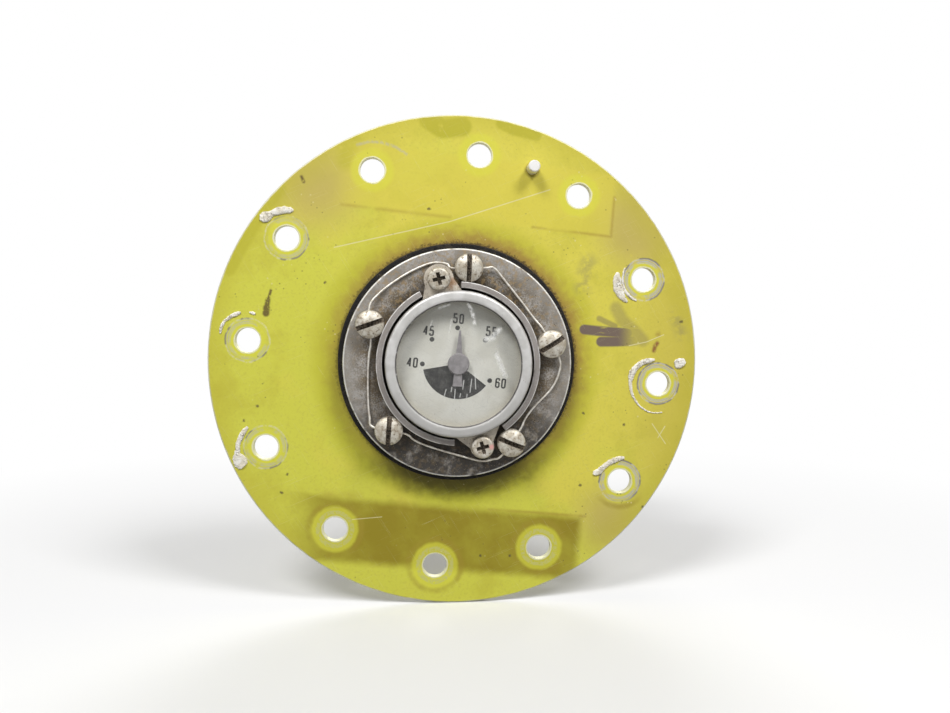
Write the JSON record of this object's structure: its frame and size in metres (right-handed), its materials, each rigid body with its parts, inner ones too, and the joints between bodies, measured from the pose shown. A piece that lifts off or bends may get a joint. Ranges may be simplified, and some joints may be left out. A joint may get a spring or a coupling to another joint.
{
  "type": "fuel gauge",
  "caption": "Round bolt-on tank cover with a pointer dial under a domed lens, driven by magnets through a sealed wall from a bevel gear pair and a float on a bent arm.",
  "frame": {"origin": "centre of the bolt circle, on the rear face of the cover plate", "axes": "the dial faces -Y and the float hangs to +Y; +Z is the top of the dial and +X its right, seen from the front"},
  "size_m": [0.142, 0.0765, 0.142],
  "materials": {
    "plate_primer": "dull zinc-chromate primer, stained",
    "grey_casting": "dull casting with dirt in its corners",
    "machined_alloy": "satin turned",
    "plated_steel": "dull nickel plate",
    "steel": "ground",
    "black_rubber": "matt",
    "clear_lens": "clear, scratched",
    "dial_paint": "cream dial paint with plain numbers",
    "pointer_plastic": "grey, slightly see-through",
    "magnet": "bare cast magnet",
    "gear_brass": "cut brass",
    "bearing_bronze": "bearing bronze",
    "jewel": "polished",
    "cork": "varnished cork"
  },
  "bodies": {
    "gauge_body": {"cover_plate": "plate_primer", "index_pin": "steel", "backing_ring": "machined_alloy", "flange_gasket": "black_rubber", "gauge_head": "grey_casting", "flange_screws": "plated_steel", "lock_wire": "steel", "dial_case": "machined_alloy", "bezel_ring": "machined_alloy", "lens": "clear_lens", "lens_seal": "black_rubber", "dial_plate": "dial_paint", "dial_screws": "plated_steel", "dial_bush": "gear_brass", "jewel_bearing": "jewel", "support_column": "machined_alloy", "column_screws": "steel", "upper_bush": "bearing_bronze", "lower_bush": "bearing_bronze", "gear_housing": "machined_alloy", "housing_screws": "steel", "pivot_bushes": "bearing_bronze", "stop_pins": "steel"},
    "drive_line": {"magnet_carrier": "gear_brass", "drive_magnet": "magnet", "drive_shaft": "steel", "drive_pinion": "gear_brass"},
    "pointer_set": {"pointer": "pointer_plastic", "pointer_hub": "pointer_plastic", "pointer_staff": "steel", "pointer_magnet": "magnet"},
    "float_set": {"pivot_shaft": "steel", "pivot_clip": "steel", "float_gear": "gear_brass", "arm_clamp": "machined_alloy", "clamp_screw": "steel", "float_arm": "steel", "float": "cork", "float_retainers": "steel"}
  },
  "joints": [
    {"name": "float_swing", "type": "hinge", "parent": "gauge_body", "child": "float_set", "pos_m": [0, 0.048, 0], "axis": [0, 0, -1], "range_deg": [-31, 38.66]},
    {"name": "drive_turn", "type": "hinge", "parent": "gauge_body", "child": "drive_line", "pos_m": [0, 0.012, 0], "axis": [0, 1, 0], "range_deg": [-93, 116]},
    {"name": "pointer_turn", "type": "hinge", "parent": "gauge_body", "child": "pointer_set", "pos_m": [0, -0.0092, 0], "axis": [0, 1, 0], "range_deg": [-93, 116]}
  ],
  "couplings": [
    {"joint": "drive_turn", "follows": "float_swing", "ratio": 3},
    {"joint": "pointer_turn", "follows": "float_swing", "ratio": 3}
  ]
}
